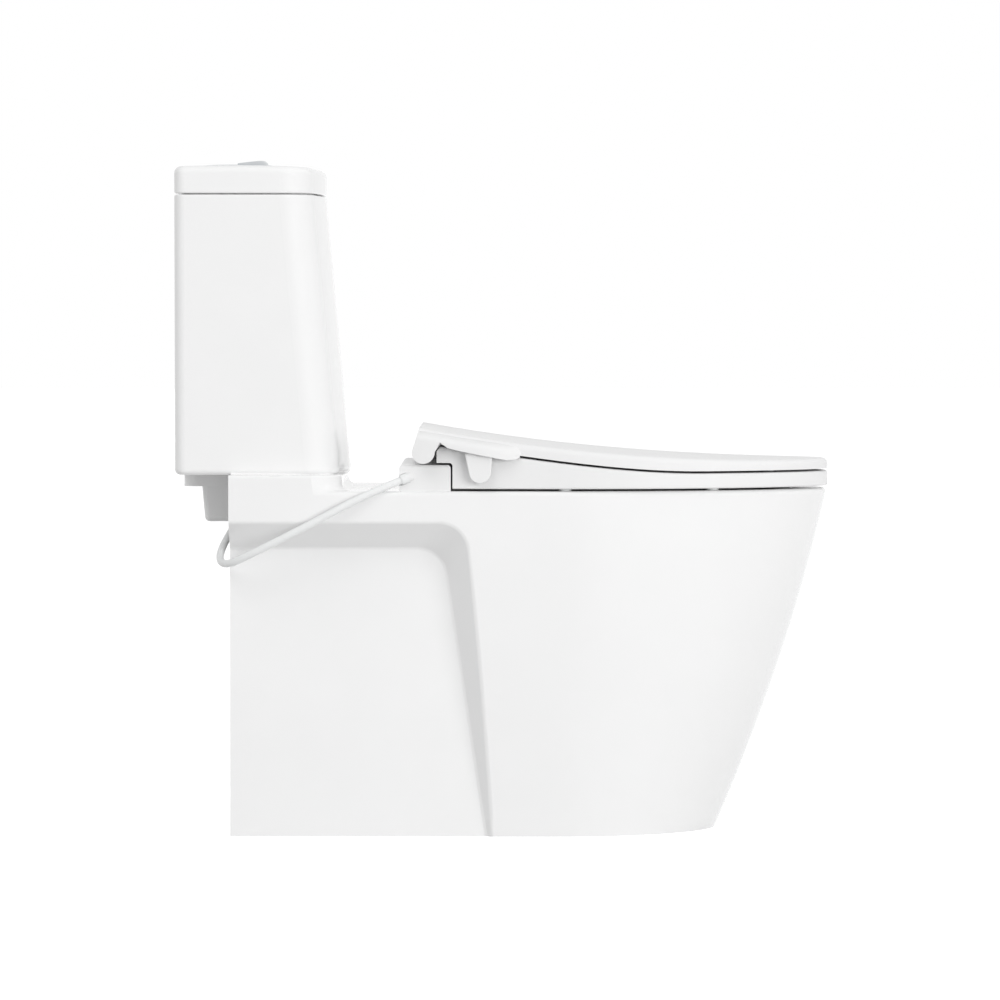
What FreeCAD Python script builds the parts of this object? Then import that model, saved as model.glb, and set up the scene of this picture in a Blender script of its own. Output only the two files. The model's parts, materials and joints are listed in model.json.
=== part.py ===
import FreeCAD, Part
import math
import os
import re
import Sketcher
from FreeCAD import Placement, Rotation, Vector

# Close-coupled toilet with a manual bidet seat, in millimetres.
# The origin is on the floor under the drain outlet: +X to the front, -Y to the sitter's right, +Z up.

sizes = {
    # pan
    "rimHeight": 390,
    "rimReach": 445.5,
    "waistReach": 392,
    "footReach": 317,
    "rimInset": 1,
    "waistHalf": 166,
    "footHalf": 148,
    "panRear": 234,
    "shoulder": 137,
    "panWall": 12,
    "pedestalHalf": 141,
    "recessDrop": 65,
    "recessHead": 6,
    "recessFoot": 55,
    "recessCorner": 34,
    "recessFlare": 31,
    "platformRise": 18,
    "platformFront": 108,
    "platformCorner": 45,
    "deckPlate": 15,
    "tongueRear": 289,
    "tongueHalf": 85,
    "tongueCorner": 15,
    "chamberX": -208.5,
    "chamberLength": 122,
    "chamberHalf": 62,
    "chamberDrop": 56,
    "chamberWall": 9,
    "bowlRear": 100,
    "rimLedge": 48,
    "rimSide": 47,
    "mouthRound": 9,
    "bowlWall": 12,
    "sumpMiddle": 178,
    "sumpLength": 46,
    "sumpWidth": 44,
    "bowlDepth": 250,
    "sumpDepth": 175,
    "trapBore": 24,
    "trapWall": 10,
    "dipRise": 27,
    "weirRise": 126,
    "trapRise": 74,
    "trapBend": 36.5,
    "spigotRadius": 51,
    "spigotBore": 40,
    "spigotLength": 62,
    "ductBore": 16,
    "ductWall": 8,
    # tank
    "tankRear": 295,
    "tankFrontFoot": 101,
    "tankFrontHead": 129.3,
    "tankHalfFoot": 162,
    "tankHalfHead": 168,
    "tankTall": 314,
    "tankWall": 10,
    "tankFloor": 14,
    "tankRearCorner": 12,
    "tankFrontCorner": 38,
    "tankBow": 900,
    "seamGap": 1.4,
    "coverTall": 31.4,
    "coverWall": 16,
    "coverPlate": 12,
    "coverFall": 3,
    # flush valve and its buttons
    "flushX": -230,
    "outletTail": 28,
    "outletBore": 23,
    "outletHole": 29,
    "overflowRadius": 11,
    "overflowTall": 232,
    "rockerPivot": 26,
    "rockerArm": 11,
    "rockerReach": 15,
    "rockerPin": 1.5,
    "buttonRadius": 34,
    "buttonSplit": 1,
    "bezelRadius": 43,
    "bezelHole": 37.6,
    "bezelProud": 4.2,
    "fullProud": 9.2,
    "fullTilt": 3.6,
    "halfProud": 4,
    "rodRadius": 2.5,
    # fill valve
    "fillX": -168,
    "fillY": -104,
    "shankRadius": 10.4,
    "fillColumn": 11,
    "fillTall": 236,
    "floatRadius": 22,
    "floatTall": 50,
    "inletRadius": 10.48,
    # tank bolts
    "tankBoltX": -208,
    "tankBoltY": 76,
    "tankBoltRadius": 4,
    # bidet seat
    "hingeX": -16,
    "hingeRise": 44,
    "hingePin": 4,
    "hingeFit": 0.06,
    "knuckleRadius": 8.8,
    "knuckleY": 108.4,
    "knuckleWide": 17,
    "lugY": 126,
    "lugWide": 13,
    "barrelRadius": 13,
    "baseRear": -43,
    "baseFront": 14.8,
    "baseHalf": 171,
    "baseTall": 29.3,
    "baseRound": 4,
    "stepGap": 2,
    "seatBoltX": -10,
    "seatBoltY": 77.5,
    "seatBoltRadius": 4,
    "seatGap": 2.5,
    "seatTip": 446.2,
    "seatHalf": 178,
    "seatRearHalf": 170,
    "seatNose": 17,
    "splitRise": 51,
    "splitGap": 2.4,
    "openingMiddle": 236,
    "openingLength": 140,
    "openingWidth": 104,
    "lidNose": 34,
    "lidCrest": 71.5,
    "crestBack": 4.5,
    "lidSag": 0.245,
    "lidShell": 4,
    "armX": 46,
    "armRise": 43,
    "earRise": 47,
    "hubRadius": 7.5,
    "armThick": 4,
    "armClear": 3.2,
    "leverHalf": 15.5,
    "leverDrop": 22,
    "leverToe": 12.3,
    "leverThick": 3.5,
    "leverRound": 1.5,
    "leverGap": 0.5,
    "axleRadius": 3.5,
    "nozzleRadius": 5,
    "nozzleSpread": 9,
    # hose
    "hoseRadius": 4.25,
}

doc = FreeCAD.newDocument("close_coupled_toilet")
sheet = doc.addObject("Spreadsheet::Sheet", "size")
for row, (alias, number) in enumerate(sizes.items(), 1):
    sheet.set(f"A{row}", alias)
    sheet.set(f"B{row}", str(number))
    sheet.setAlias(f"B{row}", alias)
doc.recompute()

aliasWords = re.compile(r"\b(" + "|".join(sizes) + r")\b")


def bound(text):
    return aliasWords.sub(lambda found: "size." + found.group(0), str(text))


def mm(text):
    return float(sheet.evalExpression(bound(text)))


# levels and places shared by several pieces
rim = "rimHeight"
tankBase = "(rimHeight + platformRise)"
tankFloorTop = "(rimHeight + platformRise + tankFloor)"
coverBase = "(rimHeight + platformRise + tankTall + seamGap)"
coverTop = "(rimHeight + platformRise + tankTall + seamGap + coverTall)"
hingeZ = "(rimHeight + hingeRise)"
valveTop = "(rimHeight + platformRise + tankFloor + overflowTall)"
rockerZ = "(rimHeight + platformRise + tankFloor + overflowTall + 10)"
pieces = []


def piece(label, thing):
    thing.Label = label
    pieces.append(thing)
    return thing


def settle(thing, place, rotation=None):
    if rotation is not None:
        thing.Placement = Placement(Vector(), rotation)
    for axis, text in zip("xyz", place):
        thing.setExpression(f"Placement.Base.{axis}", bound(text))
    return thing


def cylinder(name, radius, length, place, rotation=None, angle=360):
    thing = doc.addObject("Part::Cylinder", name)
    thing.setExpression("Radius", bound(radius))
    thing.setExpression("Height", bound(length))
    thing.Angle = angle
    return settle(thing, place, rotation)


def box(name, spans, place):
    thing = doc.addObject("Part::Box", name)
    for side, text in zip(("Length", "Width", "Height"), spans):
        thing.setExpression(side, bound(text))
    return settle(thing, place)


def fused(name, things):
    thing = doc.addObject("Part::MultiFuse", name)
    thing.Shapes = things
    thing.Refine = True
    return thing


def cutting(name, base, tools):
    tool = tools[0]
    if len(tools) > 1:
        tool = fused(name + "_tools", tools)
    thing = doc.addObject("Part::Cut", name)
    thing.Base = base
    thing.Tool = tool
    return thing


def shaped(label, shape):
    thing = doc.addObject("Part::Feature", label)
    thing.Shape = shape
    return thing


def sketched(body, plane, corners):
    sketch = body.newObject("Sketcher::SketchObject", body.Name + "_profile")
    support = [part for part in body.Origin.OriginFeatures if part.Role == plane][0]
    sketch.AttachmentSupport = [(support, "")]
    sketch.MapMode = "FlatFace"
    spots = [Vector(mm(across), mm(up), 0) for across, up in corners]
    last = len(spots)
    for here in range(last):
        sketch.addGeometry(Part.LineSegment(spots[here], spots[(here + 1) % last]))
    for here in range(last):
        sketch.addConstraint(Sketcher.Constraint("Coincident", here, 2, (here + 1) % last, 1))
    for here, corner in enumerate(corners):
        for kind, text in zip(("DistanceX", "DistanceY"), corner):
            index = sketch.addConstraint(Sketcher.Constraint(kind, -1, 1, here, 1, mm(text)))
            sketch.setExpression(f"Constraints[{index}]", bound(text))
    doc.recompute()
    return sketch


def revolved(name, corners, place, rotation=None, angle=360):
    body = doc.addObject("PartDesign::Body", name)
    sketch = sketched(body, "XZ_Plane", corners)
    turn = body.newObject("PartDesign::Revolution", name + "_turn")
    turn.Profile = sketch
    turn.ReferenceAxis = (sketch, ["V_Axis"])
    turn.Angle = angle
    body.Tip = turn
    return settle(body, place, rotation)


def padded(name, plane, corners, length, place, rotation=None, midplane=False):
    body = doc.addObject("PartDesign::Body", name)
    sketch = sketched(body, plane, corners)
    pad = body.newObject("PartDesign::Pad", name + "_pad")
    pad.Profile = sketch
    pad.setExpression("Length", bound(length))
    pad.Midplane = midplane
    body.Tip = pad
    return settle(body, place, rotation)


def hexagon(across):
    flat = f"({across})/2"
    point = f"({across})/2/cos(30 deg)"
    half = f"({across})/4/cos(30 deg)"
    return [(point, "0"), (half, flat), (f"-({half})", flat),
            (f"-({point})", "0"), (f"-({half})", f"-({flat})"), (half, f"-({flat})")]


def line(first, second):
    return Part.LineSegment(first, second).toShape()


def arc(first, middle, last):
    return Part.Arc(first, middle, last).toShape()


def bezier(poles):
    curve = Part.BezierCurve()
    curve.setPoles(poles)
    return curve.toBSpline().toShape()


def planWire(z, rear, halfRear, half, shoulder, tip, pull=0.56, blunt=0.5):
    backRight = Vector(rear, -halfRear, z)
    backLeft = Vector(rear, halfRear, z)
    right = Vector(shoulder, -half, z)
    left = Vector(shoulder, half, z)
    front = Vector(tip, 0, z)
    run = (tip - shoulder) * pull
    lean = (half - halfRear) / (shoulder - rear)
    return Part.Wire([
        line(backLeft, backRight),
        line(backRight, right),
        bezier([right, right + Vector(run, -lean * run, 0), front + Vector(0, -half * blunt, 0), front]),
        bezier([front, front + Vector(0, half * blunt, 0), left + Vector(run, lean * run, 0), left]),
        line(left, backLeft),
    ])


def rounded(body, name, radius, test):
    doc.recompute()
    base = body.Tip
    names = [f"Edge{number}" for number, edge in enumerate(base.Shape.Edges, 1)
             if test(edge.BoundBox, middleOf(edge))]
    fillet = body.newObject("PartDesign::Fillet", name)
    fillet.Base = (base, names)
    fillet.setExpression("Radius", bound(radius))
    body.Tip = fillet
    return body


def aheadOf(x):
    return Part.makeBox(1000, 1000, 1000, Vector(x, -500, -100))


def prism(wire, height):
    return Part.Face(wire).extrude(Vector(0, 0, height))


def slab(profile, half):
    return Part.Face(profile).extrude(Vector(0, 2 * half, 0))


def ovalWire(z, middle, length, width):
    if length >= width:
        return Part.Wire([Part.Ellipse(Vector(middle, 0, z), length, width).toShape()])
    oval = Part.Ellipse(Vector(middle, width, z), Vector(middle - length, 0, z), Vector(middle, 0, z))
    return Part.Wire([Part.ArcOfEllipse(oval, -math.pi / 2, 1.5 * math.pi).toShape()])


def bowed(low, mid, high, share):
    bend = (high - 2 * mid + low) * 2
    return low + (high - low - bend) * share + bend * share * share


def wireThrough(points, radii):
    steps = []
    start = points[0]
    for here in range(1, len(points) - 1):
        before = (points[here] - points[here - 1]).normalize()
        after = (points[here + 1] - points[here]).normalize()
        turn = before.getAngle(after)
        reach = radii[here - 1] * math.tan(turn / 2)
        enter = points[here] - before * reach
        leave = points[here] + after * reach
        inward = (after - before).normalize()
        middle = points[here] + inward * (radii[here - 1] / math.cos(turn / 2) - radii[here - 1])
        steps.append(line(start, enter))
        steps.append(arc(enter, middle, leave))
        start = leave
    steps.append(line(start, points[-1]))
    return Part.Wire(steps)


def piped(path, radius, start, heading):
    ring = Part.Wire([Part.Circle(start, heading, radius).toShape()])
    return path.makePipeShell([ring], True, True)


def solidOf(shape):
    shape = shape.removeSplitter()
    if len(shape.Solids) == 1:
        return shape.Solids[0]
    return shape


def middleOf(edge):
    return edge.valueAt((edge.FirstParameter + edge.LastParameter) / 2)


def edgesWhere(shape, test):
    return [edge for edge in shape.Edges if test(edge.BoundBox, middleOf(edge))]


# pan: skirted body with a drafted recess on each side, open behind and below
panTop = mm(tankBase)
rimZ = mm(rim)
panRear = -mm("panRear")
pedestal = mm("pedestalHalf")
rimHalf = mm("seatHalf - rimInset")


def halfAt(z):
    return bowed(mm("footHalf"), mm("waistHalf"), rimHalf, z / rimZ)


def tipAt(z):
    return bowed(mm("footReach"), mm("waistReach"), mm("rimReach"), z / rimZ)


def panSection(z):
    return planWire(z, panRear, halfAt(z), halfAt(z), mm("shoulder"), tipAt(z))


recessTop = rimZ - mm("recessDrop")
recessLean = (mm("recessFoot") - mm("recessHead")) / recessTop
belowFloor = -20


def recessWire(y, grow):
    top = recessTop + grow
    foot = Vector(mm("recessFoot") - belowFloor * recessLean + grow, y, belowFloor)
    corner = Vector(mm("recessFoot") - top * recessLean + grow, y, top)
    rear = panRear - 40
    path = wireThrough([foot, corner, Vector(rear, y, top)], [mm("recessCorner")])
    return Part.Wire(path.Edges + [line(Vector(rear, y, top), Vector(rear, y, belowFloor)),
                                   line(Vector(rear, y, belowFloor), foot)])


recessDeep = 60
recessGrow = mm("recessFlare") / (rimHalf - pedestal) * recessDeep
recesses = [Part.makeLoft([recessWire(side * pedestal, 0),
                           recessWire(side * (pedestal + recessDeep), recessGrow)], True, True)
            for side in (-1, 1)]
body = Part.makeLoft([panSection(0), panSection(panTop / 2), panSection(panTop)], True, False)
body = body.cut(recesses)


def onFlank(box, spot):
    return (box.ZMax > 10 and box.XLength > 5 and box.XMax < mm("shoulder") - 5 and box.ZMax < rimZ - 5
            and abs(abs(spot.y) - halfAt(spot.z)) < 0.5)


def onPedestal(box, spot):
    return box.ZMax > 10 and box.XLength > 5 and box.YLength < 0.01 and abs(abs(spot.y) - pedestal) < 0.01


body = body.makeFillet(6, edgesWhere(body, onFlank))
body = body.makeFillet(5, edgesWhere(body, onPedestal))

# the deck for the tank stands proud of the rim and has rounded front corners
wide = rimHalf + 30
shelfFront = -mm("platformFront")
farBehind = panRear - 166
shelfCorners = [Vector(farBehind, -rimHalf - 2, rimZ), Vector(shelfFront, -rimHalf - 2, rimZ),
                Vector(shelfFront, rimHalf + 2, rimZ), Vector(farBehind, rimHalf + 2, rimZ)]
shelf = wireThrough(shelfCorners, [mm("platformCorner")] * 2)
shelf = Part.Wire(shelf.Edges + [line(shelfCorners[3], shelfCorners[0])])
above = Part.makeBox(mm("rimReach") - farBehind + 100, 2 * wide, 60, Vector(farBehind, -wide, rimZ))
body = body.cut(above.cut(prism(shelf, panTop - rimZ)))


def onRim(box, spot):
    return box.ZLength < 0.01 and abs(spot.z - rimZ) < 0.01 and spot.x > shelfFront + 5


def onShelf(box, spot):
    return box.ZLength < 0.01 and abs(spot.z - panTop) < 0.01 and spot.x > panRear + 2


def underShelf(box, spot):
    return box.ZLength < 0.01 and abs(spot.z - rimZ) < 0.01 and spot.x < shelfFront + 5


body = body.makeFillet(4, edgesWhere(body, onShelf))
body = body.makeFillet(5, edgesWhere(body, onRim))
body = body.makeFillet(10, edgesWhere(body, underShelf))

# hollow underside, open behind: a narrow space between the recesses, a wide one under the bowl
panWall = mm("panWall")
rimPlate = panWall + 2
deckUnder = rimZ - rimPlate
shelfUnder = panTop - mm("deckPlate")
innerHalf = pedestal - panWall
bowlRoomRear = mm("recessFoot") + mm("recessFlare") + 12


def rearHollow(z):
    return planWire(z, panRear - 20, innerHalf, innerHalf, mm("shoulder"), (mm("shoulder") + tipAt(z)) / 2)


def frontHollow(z):
    half = halfAt(z) - panWall
    return planWire(z, bowlRoomRear, half, half, mm("shoulder"), tipAt(z) - rimPlate)


hollows = [Part.makeLoft([section(-1), section(deckUnder / 2), section(deckUnder)], True, False)
           for section in (rearHollow, frontHollow)]
crownLow = recessTop + mm("recessFlare") + 6
crownHalf = rimHalf - panWall - 9
crownStep = shelfFront - 7
crownEnd = shelfFront + 48
crown = Part.makeBox(crownStep - panRear + 20, 2 * crownHalf, shelfUnder - crownLow,
                     Vector(panRear - 20, -crownHalf, crownLow))
crownAhead = Part.makeBox(crownEnd - crownStep, 2 * crownHalf, deckUnder - crownLow,
                          Vector(crownStep, -crownHalf, crownLow))
slotWide = 64
slotMiddle = mm("tongueHalf") + 1 + slotWide / 2
slots = [Part.makeBox(mm("fillX") + 23 - panRear + 20, slotWide, 40,
                      Vector(panRear - 20, side * slotMiddle - slotWide / 2, shelfUnder - 5))
         for side in (1, -1)]
body = body.cut(hollows + [crown, crownAhead] + slots)

# rear tongue under the tank
flushX = mm("flushX")
tongueRoot = panRear + 10
tongueHalf = mm("tongueHalf")
tongueEnd = -mm("tongueRear")
tongueCorners = [Vector(tongueRoot, -tongueHalf, shelfUnder), Vector(tongueEnd, -tongueHalf, shelfUnder),
                 Vector(tongueEnd, tongueHalf, shelfUnder), Vector(tongueRoot, tongueHalf, shelfUnder)]
tongue = wireThrough(tongueCorners, [mm("tongueCorner")] * 2)
tongue = Part.Wire(tongue.Edges + [line(tongueCorners[3], tongueCorners[0])])
body = body.fuse(prism(tongue, mm("deckPlate")))

# inlet chamber under the tongue, and the duct from it to the back of the bowl
chamberLow = panTop - mm("chamberDrop")
chamberHalf = mm("chamberHalf")
chamberLength = mm("chamberLength")
chamberWall = mm("chamberWall")
chamberDraft = 3.5


def chamberWire(z, inset):
    rear = mm("chamberX") - chamberLength / 2 + inset
    front = mm("chamberX") + chamberLength / 2 - inset
    half = chamberHalf - inset
    return Part.makePolygon([Vector(rear, -half, z), Vector(front, -half, z), Vector(front, half, z),
                             Vector(rear, half, z), Vector(rear, -half, z)])


chamber = Part.makeLoft([chamberWire(chamberLow, chamberDraft), chamberWire(shelfUnder, 0)], True, True)
chamber = chamber.makeFillet(6, edgesWhere(chamber, lambda box, spot: spot.z < shelfUnder - 1))
chamberSpace = Part.makeLoft([chamberWire(chamberLow + chamberWall, chamberWall + chamberDraft),
                              chamberWire(shelfUnder, chamberWall)], True, True)
ductBore = mm("ductBore")
ductFrom = Vector(mm("chamberX") + chamberLength / 2 - chamberWall - 4, 0, shelfUnder - ductBore - 6)
ductTo = Vector(mm("bowlRear") + 30, 0, ductFrom.z - 62)
ductWay = ductTo - ductFrom
ductHead = ductFrom + ductWay * 0.035
duct = Part.makeCylinder(ductBore + mm("ductWall"), (ductTo - ductHead).Length, ductHead, ductWay)
ductSpace = Part.makeCylinder(ductBore, ductWay.Length, ductFrom, ductWay)

# bowl with its sump; the trap climbs behind it, leaves a water seal and drops into the outlet spigot
bowlWall = mm("bowlWall")
mouthRound = mm("mouthRound")
sumpFloor = rimZ - mm("bowlDepth")
mouthFront = mm("rimReach") - mm("rimLedge")
mouthHalf = rimHalf - mm("rimSide")
bowlStations = ((0.3, 24, 78, 87), (0.64, 14, 41, 56))


def bowlOval(z, rear, front, half, extra):
    return ovalWire(z, (rear + front) / 2, (front - rear) / 2 + extra, half + extra)


def bowlForm(extra, low, high):
    sumpRear = mm("sumpMiddle") - mm("sumpLength")
    sections = [bowlOval(low, sumpRear, mm("sumpMiddle") + mm("sumpLength"), mm("sumpWidth"), extra)]
    for share, behind, ahead, beside in bowlStations:
        z = sumpFloor + share * (rimZ - sumpFloor)
        sections.append(bowlOval(z, mm("bowlRear") + behind, tipAt(z) - ahead, halfAt(z) - beside, extra))
    sections.append(bowlOval(high, mm("bowlRear"), mouthFront, mouthHalf, extra))
    return Part.makeLoft(sections, True, False)


def mouthOval(turn):
    z = rimZ - mouthRound + mouthRound * math.sin(turn)
    return bowlOval(z, mm("bowlRear"), mouthFront, mouthHalf, mouthRound * (1 - math.cos(turn)))


bowlSpace = bowlForm(0, sumpFloor, rimZ - mouthRound)
bowlSpace = bowlSpace.makeFillet(14, edgesWhere(bowlSpace, lambda box, spot: box.ZMax < sumpFloor + 0.1))
quarter = math.pi / 2
bands = 6
bowlMouth = Part.makeLoft([mouthOval(band * quarter / bands) for band in range(bands + 1)], True, True)
bowlSpace = bowlSpace.fuse([bowlMouth, prism(mouthOval(quarter), 3)])
underRim = Part.makeBox(1000, 1000, deckUnder, Vector(-500, -500, 0))
bowlBlock = bowlForm(bowlWall, sumpFloor - bowlWall - 2, rimZ - 1).common(underRim)
trapBore = mm("trapBore")
trapRadius = trapBore + mm("trapWall")
trapDip = sumpFloor + mm("dipRise")
trapWeir = sumpFloor + mm("weirRise")
trapRoute = [Vector(mm("sumpMiddle"), 0, trapDip), Vector(mm("trapRise"), 0, trapDip),
             Vector(mm("trapRise"), 0, trapWeir), Vector(0, 0, trapWeir), Vector(0, 0, 40)]
trapPath = wireThrough(trapRoute, [mm("trapBend")] * 3)
trap = piped(trapPath, trapRadius, trapRoute[0], Vector(-1, 0, 0))
trapSpace = piped(trapPath, trapBore, trapRoute[0], Vector(-1, 0, 0))
spigotRadius = mm("spigotRadius")
spigotBore = mm("spigotBore")
spigotLength = mm("spigotLength")
spigotWall = spigotRadius - spigotBore
coneTall = 30
spigot = Part.makeCylinder(spigotRadius, spigotLength).fuse(
    Part.makeCone(spigotRadius, trapRadius, coneTall, Vector(0, 0, spigotLength)))
spigotSpace = Part.makeCylinder(spigotBore, spigotLength - spigotWall + 1, Vector(0, 0, -1)).fuse(
    Part.makeCone(spigotBore, trapBore, coneTall - 8, Vector(0, 0, spigotLength - spigotWall - 0.5)))
fixings = []
for side in (-1, 1):
    fixings.append(Part.makeCylinder(mm("seatBoltRadius") + 3, 60,
                                     Vector(mm("seatBoltX"), side * mm("seatBoltY"), rimZ - 50)))
    fixings.append(Part.makeCylinder(mm("tankBoltRadius") + 2, 60,
                                     Vector(mm("tankBoltX"), side * mm("tankBoltY"), panTop - 40)))
tankMouth = Part.makeCylinder(mm("outletTail") + 17, 40, Vector(flushX, 0, shelfUnder))
body = solidOf(body.cut([bowlSpace, tankMouth] + fixings))
piece("pan", shaped("pan", body))
ductJoint = mm("bowlRear") - bowlWall - 2
trapJoint = mm("bowlRear") + bowlStations[0][1] - bowlWall - 2
bowlStubs = [duct.common(aheadOf(ductJoint)), trap.common(aheadOf(trapJoint))]
bowlShell = bowlBlock.fuse(bowlStubs).cut([bowlSpace, trapSpace, ductSpace, body])
sumpRoom = Part.makeBox(1000, 1000, rimZ - mm("sumpDepth"), Vector(-500, -500, 0))
piece("bowl", shaped("bowl", solidOf(bowlShell.cut(sumpRoom))))
piece("sump", shaped("sump", solidOf(bowlShell.common(sumpRoom))))
waterway = trap.cut(aheadOf(trapJoint)).fuse(spigot).cut([trapSpace, spigotSpace])
piece("trapway", shaped("trapway", solidOf(waterway)))
inlet = chamber.fuse(duct.cut(aheadOf(ductJoint))).cut([chamberSpace, ductSpace, body])
piece("inlet_chamber", shaped("inlet_chamber", solidOf(inlet)))


# tank: a drafted shell with a bowed front, open at the top
tankTop = panTop + mm("tankTall")


def tankWire(z, inset, share):
    rear = -mm("tankRear") + inset
    front = -(mm("tankFrontFoot") + (mm("tankFrontHead") - mm("tankFrontFoot")) * share) - inset
    half = mm("tankHalfFoot") + (mm("tankHalfHead") - mm("tankHalfFoot")) * share - inset
    rearCorner = max(mm("tankRearCorner") - inset, 3)
    frontCorner = mm("tankFrontCorner") - inset
    bow = mm("tankBow") - inset
    bowX = front - bow
    cornerX = bowX + math.sqrt((bow - frontCorner) ** 2 - (half - frontCorner) ** 2)
    aim = math.atan2(half - frontCorner, cornerX - bowX)
    mid = (math.pi / 2 + aim) / 2
    diagonal = math.sqrt(0.5)

    def frontPoint(angle, side):
        across = half - frontCorner + frontCorner * math.sin(angle)
        return Vector(cornerX + frontCorner * math.cos(angle), side * across, z)

    def rearPoint(across, along, side):
        return Vector(rear + rearCorner * (1 - across), side * (half - rearCorner * (1 - along)), z)

    edges = []
    for side in (-1, 1):
        turn = [
            arc(rearPoint(1, 0, side), rearPoint(diagonal, diagonal, side), rearPoint(0, 1, side)),
            line(rearPoint(0, 1, side), frontPoint(math.pi / 2, side)),
            arc(frontPoint(math.pi / 2, side), frontPoint(mid, side), frontPoint(aim, side)),
        ]
        edges.append(turn)
    face = arc(frontPoint(aim, -1), Vector(front, 0, z), frontPoint(aim, 1))
    back = line(rearPoint(1, 0, 1), rearPoint(1, 0, -1))
    return Part.Wire(edges[0] + [face] + edges[1][::-1] + [back])


tankWall = mm("tankWall")
tankFloor = mm("tankFloor")
tankShell = Part.makeLoft([tankWire(panTop, 0, 0), tankWire(tankTop, 0, 1)], True, True)
tankShell = tankShell.makeFillet(6, edgesWhere(tankShell, lambda box, spot: box.ZMax < panTop + 0.1))
floorTop = panTop + tankFloor
tankSpace = Part.makeLoft([tankWire(floorTop, tankWall, 0), tankWire(tankTop, tankWall, 1)], True, True)
tankSpace = tankSpace.makeFillet(2.5, edgesWhere(tankSpace, lambda box, spot: box.ZMax < floorTop + 0.1))
tankHoles = [Part.makeCylinder(mm("outletHole"), 60, Vector(flushX, 0, panTop - 20)),
             Part.makeCylinder(mm("shankRadius") + 1.1, 60, Vector(mm("fillX"), mm("fillY"), panTop - 20))]
for side in (-1, 1):
    tankHoles.append(Part.makeCylinder(mm("tankBoltRadius") + 1, 60,
                                       Vector(mm("tankBoltX"), side * mm("tankBoltY"), panTop - 20)))
tankShell = solidOf(tankShell.cut([tankSpace] + tankHoles))
tankShell = tankShell.makeFillet(2, edgesWhere(tankShell, lambda box, spot: box.ZMin > tankTop - 0.1))
piece("tank", shaped("tank", solidOf(tankShell)))

# tank cover: falls a little to the front, with a lip inside the tank's mouth
coverZ = mm(coverBase)
coverHigh = mm(coverTop)
coverWall = mm("coverWall")
cover = prism(tankWire(coverZ, 0, 1), mm("coverTall") + 4)
rearX = -mm("tankRear") - 5
frontX = -mm("tankFrontHead") + 5
coverFront = coverHigh - mm("coverFall")
coverRear = coverHigh - mm("coverFall") * ((flushX - rearX) / (frontX - flushX)) ** 2


def beside(x, z):
    return Vector(x, -300, z)


fallLine = Part.Wire([
    arc(beside(rearX, coverRear), beside(flushX, coverHigh), beside(frontX, coverFront)),
    line(beside(frontX, coverFront), beside(frontX, coverHigh + 20)),
    line(beside(frontX, coverHigh + 20), beside(rearX, coverHigh + 20)),
    line(beside(rearX, coverHigh + 20), beside(rearX, coverRear)),
])
cover = solidOf(cover.cut(slab(fallLine, 300)))
cover = cover.makeFillet(8, edgesWhere(cover, lambda box, spot: spot.z > coverFront - 1.5))
cover = cover.makeFillet(2, edgesWhere(cover, lambda box, spot: box.ZMax < coverZ + 0.1))
lip = prism(tankWire(coverZ - 6, tankWall + 1.5, 1), 8)
coverSpace = prism(tankWire(coverZ - 8, coverWall, 1), mm("coverTall") - mm("coverPlate") + 8)
buttonHole = Part.makeCylinder(mm("bezelHole"), 60, Vector(flushX, 0, coverHigh - 40))
cover = cover.fuse(lip).cut([coverSpace, buttonHole])
piece("tank_lid", shaped("tank_lid", solidOf(cover)))

# flush buttons in their bezel: the front half is the full flush and stands higher
bezelNeck = "(bezelHole - 0.3)"
mouth = "(buttonRadius + 0.8)"
neckFoot = "-coverPlate - 10"
piece("button_bezel", revolved("bezel", [
    (mouth, "bezelProud - 0.8"), ("buttonRadius + 2.5", "bezelProud"),
    ("bezelRadius - 3.5", "bezelProud - 0.4"), ("bezelRadius - 1.2", "bezelProud - 1.6"),
    ("bezelRadius", "1"), ("bezelRadius", "0"), (bezelNeck, "0"),
    (bezelNeck, neckFoot), (mouth, neckFoot)], ("flushX", "0", coverTop)))
piece("button_nut", revolved("bezelNut", [
    (bezelNeck, "0"), ("bezelRadius + 3", "0"), ("bezelRadius + 3", "-7"), (bezelNeck, "-7")],
    ("flushX", "0", coverTop + " - coverPlate")))
buttonFoot = "-8"
fullFace = [
    ("0", "fullProud + 1"), ("buttonRadius - 6", "fullProud + 0.5"), ("buttonRadius - 3", "fullProud - 0.6"),
    ("buttonRadius - 1", "fullProud - 2.4"), ("buttonRadius", "fullProud - 4.6"),
    ("buttonRadius", buttonFoot), ("0", buttonFoot)]
halfFace = [
    ("0", "halfProud - 0.4"), ("buttonRadius - 14", "halfProud"), ("buttonRadius - 4", "halfProud - 0.3"),
    ("buttonRadius - 1", "halfProud - 1.2"), ("buttonRadius", "halfProud - 2.4"),
    ("buttonRadius", buttonFoot), ("0", buttonFoot)]
rodTop = f"({coverTop} - 8)"
rodFoot = f"({rockerZ} + 2.3)"
rodOut = "(rockerPivot - rockerArm)"
aboveFull = padded("aboveFull", "XZ_Plane", [
    ("0", "fullProud - fullTilt"), ("buttonRadius - 6", "fullProud"), ("buttonRadius + 2", "fullProud + 0.4"),
    ("buttonRadius + 2", "fullProud + 9"), ("0", "fullProud + 9")], "2*buttonRadius + 4",
    ("flushX", "0", coverTop), midplane=True)
buttons = ((1, "full", fullFace, -90, [aboveFull]), (-1, "half", halfFace, 90, []))
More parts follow.
